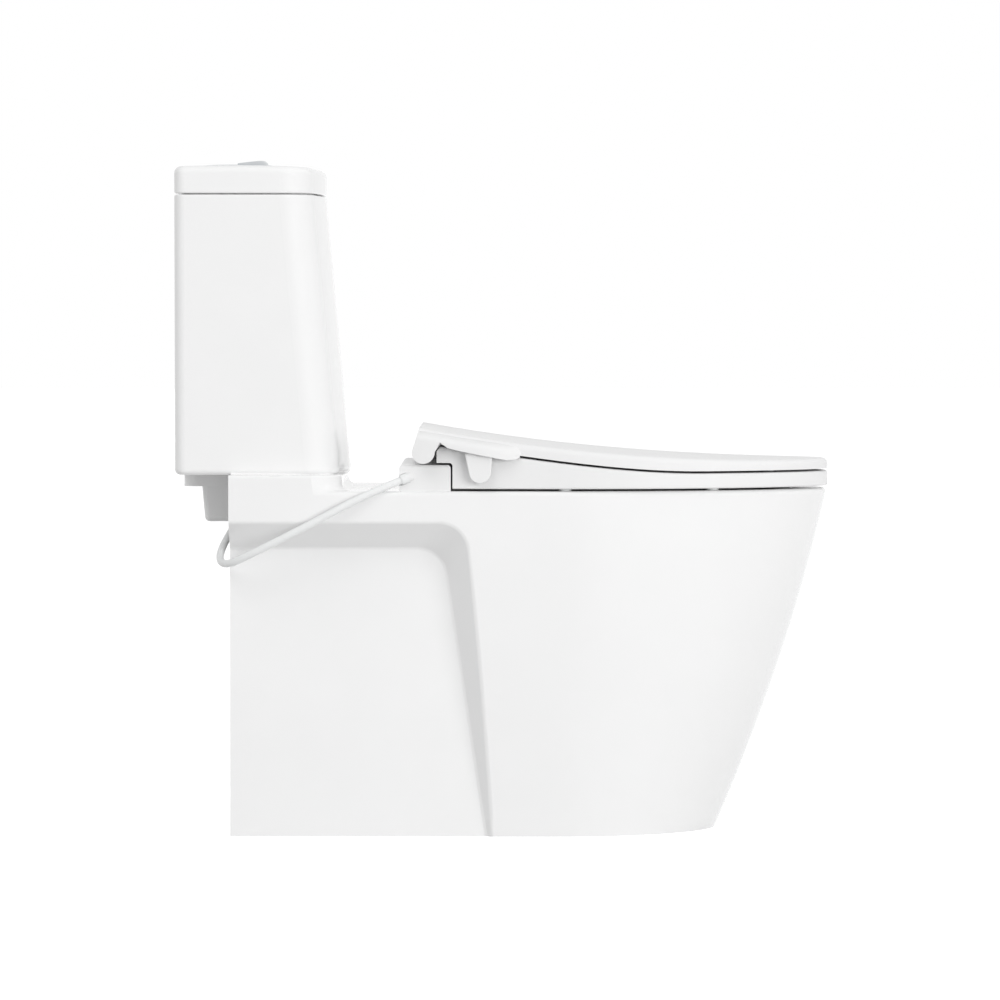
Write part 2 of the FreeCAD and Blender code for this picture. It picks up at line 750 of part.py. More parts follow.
for side, name, face, turn, above in buttons:
    button = revolved(name + "Button", face, (f"flushX + {side}*buttonSplit/2", "0", coverTop),
                      Rotation(Vector(0, 0, 1), turn), 180)
    piece(name + "_button", cutting(name + "ButtonTop", button, above) if above else button)
    piece(name + "_rod", revolved(name + "Rod", [
        ("0", "0"), ("1", "0"), ("rodRadius", "3.5"), ("rodRadius", f"{rodTop} - {rodFoot}"),
        ("0", f"{rodTop} - {rodFoot}")], (f"flushX + {side}*{rodOut}", "0", rodFoot)))

# flush valve: threaded outlet, overflow column and the bridge that carries the rockers
tailFoot = "-tankFloor - 24"
outlet = revolved("outlet", [
    ("outletBore", tailFoot), ("outletTail", tailFoot), ("outletTail", "3"), ("outletTail + 11", "3"),
    ("outletTail + 11", "8"), ("outletTail", "8"), ("outletTail - 1", "12"), ("outletTail - 3", "12"),
    ("outletBore", "8")], ("flushX", "0", tankFloorTop))
columnFoot = tankFloorTop + " - 18"
column = cylinder("column", "overflowRadius", "overflowTall + 18", ("flushX", "0", columnFoot))
ribs = [box("ribAlong", ("2*outletBore + 4", "4", "10"), ("flushX - outletBore - 2", "-2", columnFoot)),
        box("ribAcross", ("4", "2*outletBore + 4", "10"), ("flushX - 2", "-outletBore - 2", columnFoot))]
bridgeFoot = valveTop + " - 12"
bridge = box("bridge", ("2*rockerPivot + 8", "15", "6"), ("flushX - rockerPivot - 4", "-7.5", bridgeFoot))
hands = ((1, "full"), (-1, "half"))
cheeks = []
for side, name in hands:
    for across, acrossName in (("4.5", "Left"), ("-7.5", "Right")):
        cheeks.append(box(name + "Cheek" + acrossName, ("8", "3", "26"),
                          (f"flushX + {side}*rockerPivot - 4", across, bridgeFoot)))
frame = fused("valveFrame", [outlet, column, bridge] + ribs + cheeks)
overflow = cylinder("overflowBore", "overflowRadius - 2.5", "overflowTall + 20",
                    ("flushX", "0", columnFoot + " - 1"))
alongY = Rotation(Vector(1, 0, 0), -90)
pivots = {name: f"flushX + {side}*rockerPivot" for side, name in hands}
pinHoles = [cylinder(name + "PinHole", "rockerPin", "40", (pivots[name], "-20", rockerZ), alongY)
            for side, name in hands]
piece("flush_body", cutting("flushBody", frame, [overflow] + pinHoles))
pinPair = doc.addObject("Part::Compound", "rockerPins")
pinPair.Links = [cylinder(name + "Pin", "rockerPin", "15", (pivots[name], "-7.5", rockerZ), alongY)
                 for side, name in hands]
piece("rocker_pins", pinPair)
armSpan = "rockerArm + rockerReach + 6"
for side, name in hands:
    start = "rockerArm + 3" if side > 0 else "rockerReach + 3"
    arm = box(name + "Arm", (armSpan, "8", "4"), (f"{pivots[name]} - ({start})", "-4", rockerZ + " - 2"))
    boss = cylinder(name + "Boss", "4", "8", (pivots[name], "-4", rockerZ), alongY)
    hole = cylinder(name + "Eye", "rockerPin + hingeFit", "20", (pivots[name], "-10", rockerZ), alongY)
    piece(name + "_rocker", cutting(name + "Rocker", fused(name + "RockerBar", [arm, boss]), [hole]))
yokeFoot = tankFloorTop + " + 174"
sleeve = revolved("sleeve", [
    ("overflowRadius + 0.4", "15"), ("outletTail + 2", "15"), ("outletTail + 2", "18"),
    ("overflowRadius + 4", "22"), ("overflowRadius + 4", "180"), ("overflowRadius + 0.4", "180")],
    ("flushX", "0", tankFloorTop))
strapOut = "(rockerPivot + rockerReach + 5)"
yoke = box("yoke", (strapOut + " - overflowRadius", "10", "6"),
           ("flushX + overflowRadius + 2", "-5", yokeFoot))
strap = box("strap", ("3", "10", f"{rockerZ} + 6.3 - ({yokeFoot})"), (f"flushX + {strapOut}", "-5", yokeFoot))
hook = box("hook", ("11", "10", "4"), (f"flushX + {strapOut} - 8", "-5", rockerZ + " + 2.3"))
piece("flush_bell", fused("flushBell", [sleeve, yoke, strap, hook]))
piece("flush_seal", revolved("flushSeal", [
    ("outletBore - 4", "12.2"), ("outletTail + 2", "12.2"), ("outletTail + 2", "15"),
    ("outletBore - 4", "15")], ("flushX", "0", tankFloorTop)))
piece("flush_washer", revolved("flushWasher", [
    ("outletTail", "0"), ("outletTail + 10", "0"), ("outletTail + 10", "3"), ("outletTail", "3")],
    ("flushX", "0", tankFloorTop)))
piece("flush_nut", revolved("flushNut", [
    ("outletTail", "-9"), ("outletTail + 11", "-9"), ("outletTail + 12", "-7"), ("outletTail + 12", "0"),
    ("outletTail", "0")], ("flushX", "0", tankBase)))
gasketFoot = "-deckPlate + 1"
piece("tank_gasket", revolved("tankGasket", [
    ("outletTail + 12.3", gasketFoot), ("outletTail + 16.5", gasketFoot), ("outletTail + 16.5", "0"),
    ("outletTail + 12.3", "0")], ("flushX", "0", tankBase)))

# fill valve with its float, and the tee that feeds the hose
shankFoot = "-tankFloor - 42"
piece("fill_body", revolved("fillBody", [
    ("6", shankFoot), ("shankRadius", shankFoot), ("shankRadius", "3"), ("18", "3"), ("18", "8"),
    ("fillColumn", "9"), ("fillColumn", "fillTall - 20"), ("fillColumn + 8", "fillTall - 18"),
    ("fillColumn + 8", "fillTall"),
    ("0", "fillTall"), ("0", "20"), ("6", "20")], ("fillX", "fillY", tankFloorTop)))
piece("fill_washer", revolved("fillWasher", [
    ("shankRadius", "0"), ("17", "0"), ("17", "3"), ("shankRadius", "3")], ("fillX", "fillY", tankFloorTop)))
nutBlank = padded("fillNutBlank", "XY_Plane", hexagon("30"), "12", ("fillX", "fillY", tankBase + " - 12"))
nutHole = cylinder("fillNutHole", "shankRadius", "20", ("fillX", "fillY", tankBase + " - 16"))
piece("fill_nut", cutting("fillNut", nutBlank, [nutHole]))
floatFoot = tankFloorTop + " + fillTall - 24 - floatTall"
piece("float", revolved("floatCup", [
    ("fillColumn + 1", "0"), ("floatRadius", "0"), ("floatRadius", "floatTall"),
    ("fillColumn + 1", "floatTall")], ("fillX", "fillY", floatFoot)))
piece("float_rod", cylinder("floatRod", "1.4", "30",
                            ("fillX", "fillY - floatRadius + 1.6", floatFoot + " + floatTall")))
teeFoot = tankBase + " - 42"
teeBarrel = revolved("teeBarrel", [
    ("6", "-48"), ("inletRadius", "-48"), ("inletRadius", "-28"), ("13", "-28"), ("13", "24"),
    ("shankRadius", "24"), ("shankRadius", "0"), ("6", "0")], ("fillX", "fillY", teeFoot))
portZ = teeFoot + " - 8"
rearward = Rotation(Vector(0, 1, 0), -90)
port = cylinder("teePort", "7", "14", ("fillX - 9", "fillY", portZ), rearward)
portBore = cylinder("teePortBore", "3", "20", ("fillX - 5", "fillY", portZ), rearward)
piece("supply_tee", cutting("supplyTee", fused("teeForm", [teeBarrel, port]), [portBore]))
piece("hose_nut_tee", revolved("hoseNutTee", [
    ("7", "0"), ("9.5", "0"), ("9.5", "9"), ("8", "14"), ("hoseRadius", "14"), ("hoseRadius", "7"),
    ("7", "7")], ("fillX - 16", "fillY", portZ), rearward))

# bolts that clamp the tank to the pan
shankEnd = "-deckPlate - tankFloor - 16"
nutFace = "-deckPlate - 9"
boltTurns = (
    ("tank_bolts", tankFloorTop, [
        ("0", shankEnd), ("tankBoltRadius", shankEnd), ("tankBoltRadius", "2.5"),
        ("tankBoltRadius + 5", "2.5"), ("tankBoltRadius + 4", "6"), ("0", "7")]),
    ("tank_bolt_washers", tankFloorTop, [
        ("tankBoltRadius", "0"), ("tankBoltRadius + 6", "0"), ("tankBoltRadius + 6", "2.5"),
        ("tankBoltRadius", "2.5")]),
    ("tank_bolt_nuts", tankBase, [
        ("tankBoltRadius", nutFace), ("tankBoltRadius + 3", nutFace),
        ("tankBoltRadius + 5.5", "-deckPlate - 3"), ("tankBoltRadius + 5.5", "-deckPlate"),
        ("tankBoltRadius", "-deckPlate")]))
for name, level, corners in boltTurns:
    pair = doc.addObject("Part::Compound", name + "_pair")
    pair.Links = [revolved(name + hand, corners, ("tankBoltX", f"{side}*tankBoltY", level))
                  for side, hand in ((1, "_left"), (-1, "_right"))]
    piece(name, pair)


# bidet base: a low hollow housing across the deck with the nozzle case in front and two hinge lugs
acrossPlane = "XZ_Plane"
baseForm = padded("baseForm", acrossPlane, [
    ("baseRear + 2", "0"), ("baseFront", "0"), ("baseFront", "baseTall"), ("baseRear", "baseTall"),
    ("baseRear", "2")], "2*baseHalf", ("0", "0", rim), midplane=True)
baseForm = rounded(baseForm, "baseFormRound", "baseRound",
                   lambda box, spot: box.ZMin > mm("baseTall") - 0.1)
nozzleCase = padded("nozzleCase", acrossPlane, [
    ("baseFront - 2", "1"), ("baseFront + 50", "1"), ("baseFront + 54", "8"), ("baseFront + 50", "21"),
    ("baseFront + 40", "23"), ("baseFront - 2", "23")], "92", ("0", "0", rim), midplane=True)
lugs = []
lugBores = []
lugStarts = {"Left": "lugY", "Right": "(-lugY - lugWide)"}
for hand, start in lugStarts.items():
    lugs.append(cylinder("lugHead" + hand, "knuckleRadius", "lugWide", ("hingeX", start, hingeZ), alongY))
    lugs.append(box("lugStem" + hand, ("2*knuckleRadius", "lugWide", "hingeRise - baseTall + 2"),
                    ("hingeX - knuckleRadius", start, rim + " + baseTall - 2")))
    lugBores.append(cylinder("lugBore" + hand, "hingePin", "lugWide + 7", ("hingeX", start + " - 3", hingeZ),
                             alongY))
socketY = "(-baseHalf + 1)"
socketZ = rim + " + 15.4"
hoseStart = Vector(mm("baseRear + 10"), mm(socketY), mm(socketZ))
hoseSecond = Vector(panRear + 152, -rimHalf - 6, rimZ - 4)
hoseAim = Rotation(Vector(0, 0, 1), hoseSecond - hoseStart)
socketAim = Rotation(Vector(0, 0, 1), hoseStart - hoseSecond)
socketPlace = ("baseRear + 10", socketY, socketZ)
socket = cylinder("hoseSocket", "5.6", "5", socketPlace, socketAim)
nutClear = cylinder("hoseNutClear", "6", "14", socketPlace, hoseAim)
baseHollow = box("baseHollow", ("baseFront - baseRear - 6", "2*baseHalf - 6", "baseTall - 2"),
                 ("baseRear + 3", "-baseHalf + 3", rim + " - 1"))
caseHollow = box("caseHollow", ("51", "86", "20"), ("baseFront - 4", "-43", rim))
nozzleTilt = 8
nozzleTurn = Rotation(Vector(0, 1, 0), 90 + nozzleTilt)
nozzlePlaces = {"rear": ("baseFront - 12", "nozzleSpread", rim + " + 18.2"),
                "front": ("baseFront - 12", "-nozzleSpread", rim + " + 18.2")}
nozzleBores = [cylinder(name + "NozzleBore", "nozzleRadius + 0.4", "120", place, nozzleTurn)
               for name, place in nozzlePlaces.items()]
piece("bidet_base", cutting("bidetBase", fused("baseBody", [baseForm, nozzleCase, socket] + lugs),
                            [nutClear, baseHollow, caseHollow] + lugBores + nozzleBores))
for name, place in nozzlePlaces.items():
    piece("nozzle_" + name, revolved(name + "Nozzle", [
        ("0", "0"), ("nozzleRadius", "0"), ("nozzleRadius", "60"), ("nozzleRadius - 2", "65"), ("0", "66")],
        place, nozzleTurn))
plateBlank = box("plateBlank", ("40", "200", "3"), ("seatBoltX - 22", "-100", rim))
plateHoles = [cylinder("plateHole" + hand, "seatBoltRadius", "20",
                       ("seatBoltX", f"{side}*seatBoltY", rim + " - 10"))
              for side, hand in ((1, "Left"), (-1, "Right"))]
piece("mounting_plate", cutting("mountingPlate", plateBlank, plateHoles))
fixingTurns = (
    ("seat_bolts", [
        ("0", "-54"), ("seatBoltRadius", "-54"), ("seatBoltRadius", "3"), ("seatBoltRadius + 4", "3"),
        ("seatBoltRadius + 4", "7"), ("0", "9")]),
    ("seat_bolt_nuts", [
        ("seatBoltRadius", "-panWall - 16"), ("seatBoltRadius + 4", "-panWall - 16"),
        ("seatBoltRadius + 10", "-panWall - 5"), ("seatBoltRadius + 10", "-panWall - 2"),
        ("seatBoltRadius", "-panWall - 2")]))
for name, corners in fixingTurns:
    pair = doc.addObject("Part::Compound", name + "_pair")
    pair.Links = [revolved(name + hand, corners, ("seatBoltX", f"{side}*seatBoltY", rim))
                  for side, hand in ((1, "_left"), (-1, "_right"))]
    piece(name, pair)
flankStart = "(hingeX + barrelRadius - 3)"
flankAtHub = ("(seatRearHalf + (seatHalf - seatRearHalf)*(armX + hubRadius - " + flankStart
              + ")/(shoulder - " + flankStart + "))")
armY = f"({flankAtHub} + armClear + armThick/2)"
pinStart = "(knuckleY - 0.4)"
hingePair = doc.addObject("Part::Compound", "hingePinPair")
hingePair.Links = [
    cylinder("hingePinLeft", "hingePin", "58", ("hingeX", pinStart, hingeZ), alongY),
    cylinder("hingePinRight", "hingePin", f"{armY} + armThick/2 - {pinStart}",
             ("hingeX", f"-{armY} - armThick/2", hingeZ), alongY)]
piece("hinge_pins", hingePair)
piece("hose_nut_seat", revolved("hoseNutSeat", [
    ("hoseRadius", "0"), ("5.7", "0"), ("5.7", "7"), ("5.2", "9"), ("hoseRadius", "9")],
    socketPlace, hoseAim))

# control arm on the end of the right hinge pin, and the lever that swings on it
armZ = "(rimHeight + armRise)"
armWeb = padded("armWeb", acrossPlane, [
    ("hingeX - 4", "hingeRise + 6"), ("hingeX + 6", "hingeRise + 13.5"), ("hingeX + 20", "hingeRise + 14.5"),
    ("hingeX + 36", "hingeRise + 11.5"), ("armX", "armRise + hubRadius"), ("armX", "armRise - hubRadius"),
    ("armX - 12", "armRise + 2"), ("hingeX + 20", "hingeRise + 10"), ("hingeX + 8", "hingeRise + 7"),
    ("hingeX + 4", "hingeRise - 6"), ("hingeX - 4", "hingeRise - 6")],
    "armThick", ("0", f"-{armY}", rim), midplane=True)
armFace = f"-{armY} - armThick/2"
axleLength = "leverThick + leverGap"
armEnds = [cylinder("armHub", "hubRadius", "armThick", ("armX", armFace, armZ), alongY),
           cylinder("armEye", "8", "armThick", ("hingeX", armFace, hingeZ), alongY),
           cylinder("armAxle", "axleRadius", axleLength, ("armX", f"{armFace} - ({axleLength})", armZ),
                    alongY)]
armHole = cylinder("armPinHole", "hingePin", "20", ("hingeX", f"-{armY} - 10", hingeZ), alongY)
piece("control_arm", cutting("controlArm", fused("armForm", [armWeb] + armEnds), [armHole]))
leverY = mm(armFace) - mm("leverGap")
hubX = mm("armX")
hubZ = mm(armZ)
toe = Vector(hubX + 1.5, leverY, hubZ - mm("leverDrop"))
toeRadius = mm("leverToe")


def touching(corner, side):
    away = corner - toe
    lean = side * math.acos(toeRadius / away.Length)
    heading = math.atan2(away.z, away.x) + lean
    return toe + Vector(math.cos(heading), 0, math.sin(heading)) * toeRadius


hubRadius = mm("hubRadius")
shoulders = [Vector(hubX + side * mm("leverHalf"), leverY, hubZ - 1) for side in (-1, 1)]
hubEnds = [Vector(hubX + side * hubRadius * 0.8, leverY, hubZ + hubRadius * 0.6) for side in (-1, 1)]
toeEnds = [touching(shoulders[0], 1), touching(shoulders[1], -1)]
paddle = Part.Face(Part.Wire([
    line(shoulders[0], toeEnds[0]),
    arc(toeEnds[0], toe - Vector(0, 0, toeRadius), toeEnds[1]),
    line(toeEnds[1], shoulders[1]),
    line(shoulders[1], hubEnds[1]),
    arc(hubEnds[1], Vector(hubX, leverY, hubZ + hubRadius), hubEnds[0]),
    line(hubEnds[0], shoulders[0]),
])).extrude(Vector(0, -mm("leverThick"), 0))
outerFace = leverY - mm("leverThick")
paddle = paddle.makeFillet(mm("leverRound"), edgesWhere(paddle, lambda box, spot: box.YMax < outerFace + 0.1))
sideways = Vector(0, 1, 0)
leverEye = Part.makeCylinder(mm("axleRadius") + mm("hingeFit"), 40, Vector(hubX, leverY - 20, hubZ), sideways)
piece("lever", shaped("lever", solidOf(paddle.cut(leverEye))))

# seat ring under the line that parts it from the lid
hingeX = mm("hingeX")
hingeHeight = mm(hingeZ)
seatLow = rimZ + mm("seatGap")
splitFlat = seatLow + mm("seatNose") + mm("splitGap") / 2
splitBack = hingeX + mm("barrelRadius") + 6
splitFront = splitBack + 297
splitHigh = rimZ + mm("splitRise")
tip = mm("seatTip")


def splitPoles(lift):
    third = (splitFront - splitBack) / 3
    return [Vector(splitBack, -400, splitHigh + lift),
            Vector(splitBack + third, -400, splitFlat + 0.57 * (splitHigh - splitFlat) + lift),
            Vector(splitBack + 2 * third, -400, splitFlat + lift),
            Vector(splitFront, -400, splitFlat + lift)]


def splitAt(x):
    share = min(max((x - splitBack) / (splitFront - splitBack), 0), 1)
    poles = [pole.z for pole in splitPoles(0)]
    rest = 1 - share
    return (poles[0] * rest ** 3 + 3 * poles[1] * rest ** 2 * share + 3 * poles[2] * rest * share ** 2
            + poles[3] * share ** 3)


def flat(x, z):
    return Vector(x, -400, z)


def loop(points):
    return [line(points[here], points[here + 1]) for here in range(len(points) - 1)]


half = mm("splitGap") / 2
seatBack = hingeX + mm("barrelRadius") + 2
seatStep = mm("baseFront") + mm("stepGap")
stepZ = rimZ + mm("baseTall") + 2.4
stepRound = mm("baseRound") - 0.5
stepBend = stepRound * (1 - math.sqrt(0.5))
seatTop = splitPoles(-half)
seatFront = loop([seatTop[3], flat(tip + 20, splitFlat - half), flat(tip + 20, seatLow),
                  flat(seatStep, seatLow), flat(seatStep, stepZ - stepRound)])
seatCorner = arc(flat(seatStep, stepZ - stepRound), flat(seatStep - stepBend, stepZ - stepBend),
                 flat(seatStep - stepRound, stepZ))
seatRear = loop([flat(seatStep - stepRound, stepZ), flat(seatBack, stepZ), flat(seatBack, seatTop[0].z - 5),
                 seatTop[0]])
seatProfile = Part.Wire([bezier(seatTop)] + seatFront + [seatCorner] + seatRear)
seatPlan = planWire(rimZ - 20, seatBack - 5, mm("seatRearHalf"), mm("seatHalf"), mm("shoulder"), tip)
seat = solidOf(prism(seatPlan, 150).common(slab(seatProfile, 400)))
seat = seat.makeFillet(3, edgesWhere(seat, lambda box, spot: abs(spot.z - splitAt(spot.x) + half) < 0.4
                                     and abs(spot.y) > 20 and spot.x > splitBack + 1))
seat = seat.makeFillet(2, edgesWhere(seat, lambda box, spot: box.ZMax < seatLow + 0.1 and abs(spot.y) > 20))
opening = prism(ovalWire(rimZ - 20, mm("openingMiddle"), mm("openingLength"), mm("openingWidth")), 150)
seat = solidOf(seat.cut(opening))


def onOpening(box, spot):
    reach = ((spot.x - mm("openingMiddle")) / mm("openingLength")) ** 2 + (spot.y / mm("openingWidth")) ** 2
    return abs(reach - 1) < 0.01 and box.XLength > 20 and spot.z > seatLow + 3


seat = seat.makeFillet(6, edgesWhere(seat, onOpening))
caseClear = Part.makeBox(mm("openingMiddle") - seatStep + 10, 100, 26, Vector(seatStep - 10, -50, rimZ - 1))
knuckle = mm("knuckleRadius")
knuckles = []
knuckleWide = mm("knuckleWide")
for low in (mm("knuckleY"), -mm("knuckleY") - knuckleWide):
    knuckles.append(Part.makeCylinder(knuckle, knuckleWide, Vector(hingeX, low, hingeHeight), sideways))
    knuckles.append(Part.makeBox(seatBack + 8 - hingeX, knuckleWide, 9.5,
                                 Vector(hingeX, low, hingeHeight - 4)))
eyeRadius = mm("hingePin") + mm("hingeFit")
seatEye = Part.makeCylinder(eyeRadius, 400, Vector(hingeX, -200, hingeHeight), sideways)
seat = seat.fuse(knuckles).cut([caseClear, seatEye])
piece("seat", shaped("seat", solidOf(seat)))
bumpers = []
bumperPlaces = {"Rear": ("shoulder + 6", "seatHalf - 28"), "Front": ("seatTip - 137", "0.607*seatHalf")}
for row, (x, y) in bumperPlaces.items():
    for side, hand in ((1, "Left"), (-1, "Right")):
        bumpers.append(box(f"bumper{row}{hand}", ("16", "9", "seatGap - 0.3"),
                           (f"{x} - 8", f"{side}*({y}) - 4.5", rim + " + 0.3")))
bumperSet = doc.addObject("Part::Compound", "seatBumperSet")
bumperSet.Links = bumpers
piece("seat_bumpers", bumperSet)

# lid: a shell with a round barrel at each end of the hinge and a flared cheek over the lever's hub
barrel = mm("barrelRadius")
shell = mm("lidShell")
crestX = hingeX - mm("crestBack")
crestZ = rimZ + mm("lidCrest")
noseZ = rimZ + mm("lidNose")
lidMidX = (crestX + tip) / 2 - 22
lidMidZ = noseZ + mm("lidSag") * (crestZ - noseZ)
lidArc = Part.Arc(flat(crestX, crestZ), flat(lidMidX, lidMidZ), flat(tip, noseZ))
lidRound = lidArc.toShape().Curve


def lidTopAt(x):
    return lidRound.Center.z - math.sqrt(lidRound.Radius ** 2 - (x - lidRound.Center.x) ** 2)


lidLow = splitPoles(half)
lidProfile = Part.Wire([bezier(lidLow)] + loop([lidLow[3], flat(tip + 20, splitFlat + half),
                                                flat(tip + 20, noseZ), flat(tip, noseZ)])
                       + [arc(flat(tip, noseZ), flat(lidMidX, lidMidZ), flat(crestX, crestZ)),
                          line(flat(crestX, crestZ), flat(hingeX - barrel, hingeHeight)),
                          arc(flat(hingeX - barrel, hingeHeight), flat(hingeX, hingeHeight - barrel),
                              flat(hingeX + barrel, hingeHeight)),
                          line(flat(hingeX + barrel, hingeHeight), lidLow[0])])
lidBack = hingeX - barrel
lidRearHalf = mm("seatRearHalf") + 1
lidHalf = mm("seatHalf") + 1


def lidPlan(inset):
    return planWire(rimZ - 20, lidBack, lidRearHalf - inset, lidHalf - inset, mm("shoulder"), tip - inset)


def lidHalfAt(x):
    return lidRearHalf + (lidHalf - lidRearHalf) * (x - lidBack) / (mm("shoulder") - lidBack)


lid = solidOf(prism(lidPlan(0), 150).common(slab(lidProfile, 400)))
lid = lid.makeFillet(7, edgesWhere(lid, lambda box, spot: abs(spot.z - lidTopAt(spot.x)) < 0.5
                                   and abs(spot.y) > 20 and box.XLength > 20))
armX = hubX
cheekEnd = armX + 47.5


def cheekReach(x):
    bend = 0.001 if x < armX else 0.0059
    return mm(armY) + mm("armThick") / 2 + mm("leverThick") + 6.2 - bend * (x - armX) ** 2


def cheekWire(x, inner, outer, top, drop):
    face = [Vector(x, -inner, top), Vector(x, -outer, top - 1), Vector(x, -outer, top - drop)]
    low = rimZ
    return Part.Wire([bezier(face)] + [line(face[2], Vector(x, -outer, low)),
                                       line(Vector(x, -outer, low), Vector(x, -inner, low)),
                                       line(Vector(x, -inner, low), face[0])])


cheekSpots = [lidBack, hingeX, 18, armX, armX + 25, cheekEnd]
earZ = rimZ + mm("earRise")


def cheekTop(x):
    return min(lidTopAt(max(x, crestX)), crestZ)


cheek = Part.makeLoft([cheekWire(x, lidHalfAt(x) - 6, cheekReach(x), cheekTop(x) - 3, 11)
                       for x in cheekSpots], True, False)
cheekProfile = Part.Wire([
    arc(flat(hingeX - barrel, hingeHeight), flat(hingeX, hingeHeight - barrel),
        flat(hingeX + barrel, hingeHeight))]
    + loop([flat(hingeX + barrel, hingeHeight), flat(splitBack, splitHigh + 4), flat(armX - 35, earZ + 2)])
    + [bezier([flat(armX - 35, earZ + 2), flat(armX - 20, earZ - 2.5), flat(armX + 9.5, earZ - 7.6),
               flat(armX + 27, earZ - 11.3)]),
       bezier([flat(armX + 27, earZ - 11.3), flat(armX + 38, earZ - 13), flat(armX + 44, earZ - 10.5),
               flat(cheekEnd, earZ - 8.5)])]
    + loop([flat(cheekEnd, earZ - 8.5), flat(cheekEnd, crestZ), flat(crestX, crestZ),
            flat(hingeX - barrel, hingeHeight)]))
underLid = Part.Wire([bezier(lidLow)] + loop([
    lidLow[3], flat(tip + 20, splitFlat + half), flat(tip + 20, rimZ - 30), flat(hingeX + barrel, rimZ - 30),
    flat(hingeX + barrel, hingeHeight), lidLow[0]]))
seatRoom = slab(underLid, 400).common(prism(lidPlan(-0.8), 150))
lid = lid.fuse(cheek.common(slab(cheekProfile, 400)).cut(seatRoom))
clearSpots = [hingeX - 10.2, hingeX, 18, armX, armX + 25, armX + 37]
clearance = Part.makeLoft([cheekWire(x, lidHalfAt(x) + 0.8, cheekReach(x) - 3, cheekTop(x) - 7, 3)
                           for x in clearSpots], True, False)
clearRound = Part.makeCylinder(10, 800, Vector(hingeX, -400, hingeHeight), sideways)
armOuter = mm(armY) + mm("armThick") / 2 + 0.6
armRing = Part.makeCylinder(barrel + 1, armOuter - lidHalfAt(hingeX) - 0.5,
                            Vector(hingeX, -armOuter, hingeHeight), Vector(0, 1, 0))
clearAhead = slab(Part.makePolygon([
    flat(hingeX - 5.5, hingeHeight + 7), flat(hingeX + 5, hingeHeight + 15.5),
    flat(hingeX + 36, hingeHeight + 17), flat(armX + 6, hubZ + 12),
    flat(armX + 37, hubZ + 3), flat(armX + 37, rimZ - 10),
    flat(hingeX - 5.5, rimZ - 10), flat(hingeX - 5.5, hingeHeight + 7)]), 400)
clearance = clearance.common(clearRound.fuse(clearAhead))
vaultX = crestX + 22
vaultRear = flat(vaultX, lidTopAt(vaultX) - shell)
vault = Part.Wire([arc(vaultRear, flat(lidMidX, lidMidZ - shell), flat(tip, noseZ - shell))]
                  + loop([flat(tip, noseZ - shell), flat(tip, rimZ - 10), flat(vaultX, rimZ - 10),
                          vaultRear]))
vault = slab(vault, 400).common(prism(lidPlan(shell), 150))
lugRoom = 0.6
lugY = mm("lugY")
lugWide = mm("lugWide")
hoodHalf = lugY + lugWide + lugRoom
hoodFront = crestX + 24
hood = slab(Part.makePolygon([
    flat(hingeX - 9.8, hingeHeight + 2), flat(crestX + 3, crestZ - 5),
    flat(hoodFront, lidTopAt(hoodFront) - 4), flat(hoodFront, rimZ - 10),
    flat(hingeX - 24, rimZ - 10), flat(hingeX - 24, hingeHeight - 8.5),
    flat(hingeX - 8.7, hingeHeight - 8.5), flat(hingeX - 9.8, hingeHeight + 2)]), 400)
hood = hood.common(Part.makeBox(200, 2 * hoodHalf, 300, Vector(-100, -hoodHalf, rimZ - 50)))
lugWays = [Part.makeBox(16, lugWide + 2 * lugRoom, 22, Vector(hingeX - 16, low - lugRoom, hingeHeight - 9.5))
           for low in (lugY, -lugY - lugWide)]
eyeStart = mm("knuckleY") - 0.9
eyeEnd = mm(armY) + 3
lidEyes = [Part.makeCylinder(eyeRadius, 60, Vector(hingeX, eyeStart, hingeHeight), sideways),
           Part.makeCylinder(eyeRadius, eyeEnd - eyeStart, Vector(hingeX, -eyeEnd, hingeHeight), sideways)]
lid = lid.cut([clearance, armRing, vault, hood] + lidEyes + lugWays)
postX = tip - 70
posts = [Part.makeCylinder(5, lidTopAt(postX) - 2 - splitFlat - 6, Vector(postX, side * 70, splitFlat + 6))
         for side in (-1, 1)]
lid = lid.fuse(posts)
piece("lid", shaped("lid", solidOf(lid)))
lidPads = doc.addObject("Part::Compound", "lidPads")
lidPads.Links = [cylinder("lidPad" + hand, "5", "6 + splitGap/2 - 0.3",
                          ("seatTip - 70", f"{side}*70", rim + " + seatGap + seatNose + 0.3"))
                 for side, hand in ((1, "Left"), (-1, "Right"))]
piece("lid_bumpers", lidPads)

# water hose: from the tee it comes round the skirt's rear edge and runs up the flank to the bidet base
skirt = -mm("pedestalHalf")
hoseRoute = [
    hoseStart,
    hoseSecond,
    Vector(panRear + 92.5, -rimHalf - 7, rimZ - 36.6),
    Vector(panRear + 28, -rimHalf, rimZ - 69),
    Vector(panRear - 3, skirt - 19, rimZ - 84),
    Vector(panRear - 13, skirt + 3, rimZ - 78),
    Vector(panRear - 8, skirt + 25, rimZ - 60),
    Vector(panRear + 10, mm("fillY"), mm(portZ)),
    Vector(mm("fillX - 23"), mm("fillY"), mm(portZ)),
]
hoseRadii = []
for here in range(1, len(hoseRoute) - 1):
    before = hoseRoute[here] - hoseRoute[here - 1]
    after = hoseRoute[here + 1] - hoseRoute[here]
    turn = before.getAngle(after)
    hoseRadii.append(0.45 * min(before.Length, after.Length) / math.tan(turn / 2))
hosePath = wireThrough(hoseRoute, hoseRadii)
hoseRadius = mm("hoseRadius")
hose = piped(hosePath, hoseRadius, hoseRoute[0], hoseRoute[1] - hoseRoute[0])
print("hose bend radii", [round(radius, 1) for radius in hoseRadii])
print("hose length", round(hosePath.Length, 1), "volume share",
      round(hose.Volume / (math.pi * hoseRadius ** 2 * hosePath.Length), 4))
piece("hose", shaped("hose", hose))

